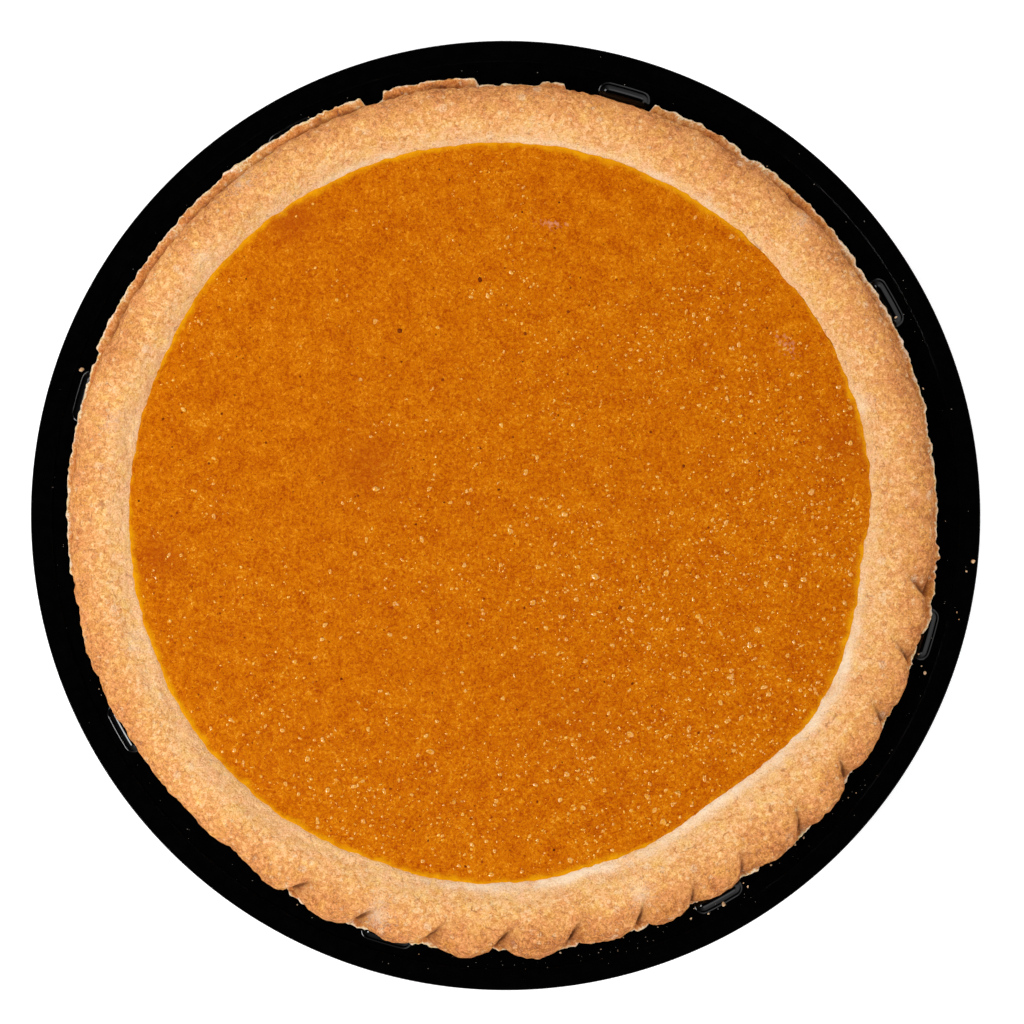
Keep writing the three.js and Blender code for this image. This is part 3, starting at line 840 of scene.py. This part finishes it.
# Painted glints: the palest peach stops of this ramp fall where the pebbles stand highest and stand in for
# the skin's tiny highlights. The darker stops are the custard's own mottle.
colour = colour_ramp(tree, depth, [
    (0.0, tone(150, 50, 0)), (0.25, tone(180, 78, 0)), (0.45, tone(204, 105, 0)),
    (0.58, tone(213, 117, 0)), (0.75, tone(231, 142, 16)), (1.0, tone(255, 192, 88)),
])
colour = mixed(tree, scaled(tree, attribute_node(tree, "stain"), 0.0, 1.0, 0.0, 0.8),
               colour, tone(172, 66, 4))
wander = noise_node(tree, place, 4 * MM, detail=4.0, roughness=0.65)
film_edge = added(tree, attribute_node(tree, "edge"), scaled(tree, wander, 0.3, 0.7, -1.2, 0.9))
colour = mixed(tree, scaled(tree, film_edge, -0.3, 1.4, 1.0, 0.0), colour, tone(236, 158, 4))
wet = added(tree, attribute_node(tree, "smear"),
            scaled(tree, noise_node(tree, place, 1.2 * MM), 0.35, 0.65, -0.25, 0.3))
colour = mixed(tree, scaled(tree, wet, 0.32, 0.6, 0.0, 0.7), colour, tone(226, 150, 112))
relief = bump_node(tree, pebbles, 0.35 * MM, 0.7)
relief = bump_node(tree, fibre, 0.2 * MM, 0.6, after=relief)
set_inputs(shader, Base_Color=colour, Roughness=scaled(tree, fibre, 0.3, 0.7, 0.46, 0.34), Normal=relief)

custard = make_piece("custard", custard_points, side_quads, custard_triangles, custard_material, "filling")
for name, values, at_foot in (("edge", edge, 5.0), ("stain", stain, 0.0), ("smear", smear, 0.0)):
    give_attribute(custard, name, np.append(values, np.full(rim_count + 1, at_foot)))
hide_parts("filling")


# ---- Bubbles ----
# Small pale blisters in the custard's skin, where air came up as it baked. Most are under a
# millimetre across. They crowd in some patches and toward the near right side.
def scatter(template, faces, places, sizes, generator):
    """Points and triangles of many copies of a small shape, each stretched to its own three
    sizes, turned at random about the vertical and set in its place."""
    turns = generator.uniform(0, 2 * np.pi, len(places))
    shapes = template * sizes[:, None, :]
    cos, sin = np.cos(turns)[:, None], np.sin(turns)[:, None]
    points = np.stack([shapes[..., 0] * cos - shapes[..., 1] * sin,
                       shapes[..., 0] * sin + shapes[..., 1] * cos, shapes[..., 2]], axis=-1)
    points = points + places[:, None, :]
    indices = faces[None] + np.arange(len(places))[:, None, None] * len(template)
    return points.reshape(-1, 3), indices.reshape(-1, 3)


def dome_template(sides):
    """A dome of unit radius and height on a shallow rounded underside: three rings of points,
    on a circle's arc as seen from the side, between a lowest and a highest point."""
    turn = 2 * np.pi * np.arange(sides) / sides
    rings = [(1.0, 0.0), (0.76, 0.55), (0.42, 0.88)]
    points = [[0.0, 0.0, -0.5]]
    points += [[r * np.cos(t), r * np.sin(t), h] for r, h in rings for t in turn]
    points += [[0.0, 0.0, 1.0]]
    j = np.arange(sides)
    right = (j + 1) % sides
    last = 1 + 3 * sides
    faces = [np.stack([0 * j, 1 + right, 1 + j], axis=-1),
             np.stack([last - sides + j, last - sides + right, 0 * j + last], axis=-1)]
    for low in (1, 1 + sides):
        high = low + sides
        faces += [np.stack([low + j, low + right, high + right], axis=-1),
                  np.stack([low + j, high + right, high + j], axis=-1)]
    return np.array(points), np.concatenate(faces)


def spots_on_custard(generator, count, crowd_seed, crowding, lean, margin):
    """Random places on the custard, a margin in from its edge, thinned where a broad noise
    is low so that they crowd in patches, and by the lean away from the near right side."""
    tries = count * 8
    theta = generator.uniform(0.0, 360.0, tries)
    radius = np.sqrt(generator.uniform(0.0, 1.0, tries)) * (custard_line(theta) - margin)
    x, y = around(radius, theta)
    density = (cloud(x, y, 0.0, 22 * MM, crowd_seed) + 0.6 * cloud(x, y, 0.0, 7 * MM, crowd_seed + 1)
               + 0.9 * cloud(x, y, 0.0, 2.4 * MM, crowd_seed + 2))
    toward_near_right = (x - y) / (190 * MM)
    keep = generator.uniform(-1.0, 1.0, tries) < crowding * density + lean * toward_near_right - 0.3
    return x[keep][:count], y[keep][:count]


def pale_skin(name, low_colour, high_colour, roughness, specular):
    """Thin dry custard skin: cloudy between two colours, with a fine uneven relief."""
    material, tree, shader, place = new_material(name, roughness, specular)
    cloudy = noise_node(tree, place, 1.1 * MM)
    spotted = noise_node(tree, place, 6.0 * MM, detail=1.0)
    value = added(tree, scaled(tree, cloudy, 0.3, 0.7, 0.0, 0.6), scaled(tree, spotted, 0.35, 0.65, 0.0, 0.4))
    set_inputs(shader, Base_Color=mixed(tree, value, low_colour, high_colour))
    set_inputs(shader, Normal=bump_node(tree, cloudy, 0.1 * MM, 0.3))
    return material


def lumpy(points, own, cell, seed, share):
    """The points of many small shapes, pushed about by noise by a share of each one's size."""
    own = np.repeat(own, len(points) // len(own))[:, None]
    bumps = np.stack([cloud(*points.T, cell, seed + k) for k in range(3)], axis=-1)
    return points + own * bumps * share


def bubble_piece(name, generator, count, lean, middle, spread, smallest, largest, steep, material, seed):
    """One piece of many domes: radii in mm with a skewed spread round a middle value, tops
    `steep` times as high as they are wide, their rims sunk into the custard's skin."""
    x, y = spots_on_custard(generator, count, seed, 1.5, lean, 1.5 * MM)
    radius = np.clip(generator.lognormal(math.log(middle), spread, len(x)), smallest, largest) * MM
    sizes = np.stack([radius, radius * generator.uniform(0.6, 1.0, len(x)),
                      radius * generator.uniform(0.75, 1.15, len(x)) * steep], axis=-1)
    places = np.stack([x, y, custard_height(x, y) - 0.1 * sizes[:, 2]], axis=-1)
    dome, dome_faces = dome_template(8)
    points, triangles = scatter(dome, dome_faces, places, sizes, generator)
    points = lumpy(points, sizes[:, 1], 0.8 * MM, seed + 2, (0.6, 0.6, 0.2))
    return make_piece(name, points, [], triangles, material, "filling")


chance = np.random.default_rng(5)
bubble_material = pale_skin("bubble_skin", tone(230, 138, 2), tone(252, 184, 50), 0.16, 0.9)
blister_material = pale_skin("blister_skin", tone(228, 138, 4), tone(247, 176, 56), 0.16, 0.9)
bubble_piece("bubbles", chance, 2900, 0.8, 0.26, 0.45, 0.15, 0.75, 0.55, bubble_material, 41)
bubble_piece("blisters", chance, 900, 2.6, 0.48, 0.38, 0.28, 1.3, 0.4, blister_material, 51)


# ---- Spice specks ----
# Dark flecks of ground cinnamon, clove and nutmeg that floated up and dried in the skin.
SPECK_COUNT = 620
BIG_SPECKS = (
    (-7.2, 66.4, 0.9), (-29.8, 52.0, 0.8), (-29.3, 43.3, 0.4), (5.5, 51.2, 0.55), (17.6, 57.4, 0.6),
    (-17.7, 38.2, 0.5), (14.0, 80.8, 0.5), (50.1, 13.9, 0.6), (32.3, -25.8, 0.6), (35.7, -47.3, 0.5),
    (3.2, -54.6, 0.5),
)


def grain_template():
    """The twelve corners and twenty faces of an icosahedron of unit radius: three golden
    rectangles at right angles, and every three corners that lie next to each other."""
    g = (1 + 5 ** 0.5) / 2
    corners = [(0, a, b * g) for a in (-1, 1) for b in (-1, 1)]
    corners = np.array([np.roll(c, k) for k in range(3) for c in corners]) / np.hypot(1, g)
    near = np.linalg.norm(corners[:, None] - corners[None], axis=-1) < 1.1
    faces = [(a, b, c) for a in range(12) for b in range(a) for c in range(b)
             if near[a, b] and near[b, c] and near[a, c]]
    faces = np.array(faces)
    a, b, c = (corners[faces[:, k]] for k in range(3))
    facing = np.cross(b - a, c - a)
    inside_out = (facing * corners[faces[:, 0]]).sum(axis=1) < 0
    faces[inside_out] = faces[inside_out][:, ::-1]
    return corners, faces


chance = np.random.default_rng(8)
grain_shape, grain_faces = grain_template()
speck_x, speck_y = spots_on_custard(chance, SPECK_COUNT, 61, 0.6, 0.0, 2 * MM)
across_size = np.clip(chance.lognormal(math.log(0.19), 0.45, len(speck_x)), 0.08, 0.5) * MM
speck_x, speck_y, across_size = np.append([speck_x, speck_y, across_size],
                                          np.array(BIG_SPECKS).T * MM, axis=1)
count = len(speck_x)
sizes = np.stack([across_size, across_size * chance.uniform(0.5, 1.0, count), 0.3 * across_size], axis=-1)
places = np.stack([speck_x, speck_y, custard_height(speck_x, speck_y) + 0.02 * MM], axis=-1)
points, triangles = scatter(grain_shape, grain_faces, places, sizes, chance)
spice_material, tree, shader, place = new_material("ground_spice", 0.7, 0.05)
shade = scaled(tree, noise_node(tree, place, 5 * MM), 0.35, 0.65)
set_inputs(shader, Base_Color=mixed(tree, shade, tone(108, 38, 4), tone(160, 70, 10)))
make_piece("spice_specks", points, [], triangles, spice_material, "filling")


# ---- Crumbs ----
# Bits of pastry broken off the hem. They lie on the flange, mostly close to the rim.
CRUMB_COUNT = 26
PLACED_CRUMBS = (
    (161.0, 126.6, 0.8), (354.4, 132.6, 0.55), (353.1, 131.0, 0.3), (347.9, 130.3, 0.25),
    (347.1, 131.2, 0.2), (339.4, 126.4, 0.55), (340.1, 124.9, 0.3), (299.3, 125.8, 0.7),
    (297.0, 126.1, 0.3), (294.7, 125.2, 0.35), (303.1, 125.1, 0.35),
)


def finer_grain(corners, faces):
    """The same closed shape with every face cut into four and its new corners pushed out to
    the unit sphere."""
    edges = np.sort(np.concatenate([faces[:, [0, 1]], faces[:, [1, 2]], faces[:, [2, 0]]]), axis=1)
    unique, which = np.unique(edges, axis=0, return_inverse=True)
    middles = corners[unique].mean(axis=1)
    middles = middles / np.linalg.norm(middles, axis=1, keepdims=True)
    ab, bc, ca = np.ravel(which).reshape(3, -1) + len(corners)
    a, b, c = faces.T
    parts = ((a, ab, ca), (b, bc, ab), (c, ca, bc), (ab, bc, ca))
    faces = np.concatenate([np.stack(part, axis=-1) for part in parts])
    return np.concatenate([corners, middles]), faces


def flange_height(x, y):
    """Height of the flange's top side, with its lugs and the step up to the lid's seat."""
    step_up = np.clip((np.hypot(x, y) - LID_STEP_RADIUS) / (1.0 * MM), 0.0, 1.0) * LID_STEP_RISE
    return FLANGE + step_up + lug_rise(x, y)


def strewn(generator, count, near_share, near_middle, near_spread, reach):
    """Random directions, of which a share lies on the near side, and distances outwards that
    get rarer beyond the reach."""
    near = generator.uniform(0.0, 1.0, count) < near_share
    degrees = np.where(near, generator.normal(near_middle, near_spread, count),
                       generator.uniform(0, 360, count))
    return degrees, np.abs(generator.normal(0.0, reach, count))


chance = np.random.default_rng(14)
placed = np.array(PLACED_CRUMBS)
crumb_degrees, beyond = strewn(chance, CRUMB_COUNT, 0.6, 285, 26, 2.0)
crumb_radius = np.clip(roll_line(crumb_degrees) / MM + (1.2 + beyond), 0.0, 132.0)
crumb_size = np.clip(chance.lognormal(math.log(0.22), 0.45, CRUMB_COUNT), 0.1, 0.7)
crumb_degrees = np.append(crumb_degrees, placed[:, 0])
crumb_radius = np.append(crumb_radius, placed[:, 1]) * MM
crumb_size = np.append(crumb_size, placed[:, 2]) * MM
count = len(crumb_size)
crumb_x, crumb_y = around(crumb_radius, crumb_degrees)
sizes = np.stack([crumb_size, crumb_size * chance.uniform(0.55, 0.95, count),
                  crumb_size * chance.uniform(0.4, 0.7, count)], axis=-1)
places = np.stack([crumb_x, crumb_y, flange_height(crumb_x, crumb_y) + 0.7 * sizes[:, 2]], axis=-1)
crumb_shape, crumb_faces = finer_grain(grain_shape, grain_faces)
points, triangles = scatter(crumb_shape, crumb_faces, places, sizes, chance)
points = lumpy(points, crumb_size, 0.45 * MM, 71, 0.35)
crumb_material = pale_skin("pastry_crumb", tone(206, 146, 84), tone(250, 222, 186), 0.8, 0.2)
make_piece("crumbs", points, [], triangles, crumb_material, "crust")


# ---- Dust ----
# Fine flour and crumb dust on the black flange and lip, only seen against the gloss.
DUST_COUNT = 150

chance = np.random.default_rng(17)
dust_degrees, beyond = strewn(chance, DUST_COUNT, 0.55, 290, 40, 3.4)
dust_radius = np.clip(124.6 + beyond, 0.0, 132.3) * MM
dust_x, dust_y = around(dust_radius, dust_degrees)
dust_size = np.clip(chance.lognormal(math.log(0.09), 0.35, DUST_COUNT), 0.05, 0.22) * MM
sizes = np.stack([dust_size, dust_size * chance.uniform(0.5, 1.0, DUST_COUNT), 0.4 * dust_size], axis=-1)
places = np.stack([dust_x, dust_y, flange_height(dust_x, dust_y) + 0.6 * sizes[:, 2]], axis=-1)
points, triangles = scatter(grain_shape, grain_faces, places, sizes, chance)
dust_material = pale_skin("fine_dust", tone(120, 112, 104), tone(226, 216, 202), 0.85, 0.2)
make_piece("dust", points, [], triangles, dust_material, "crust")
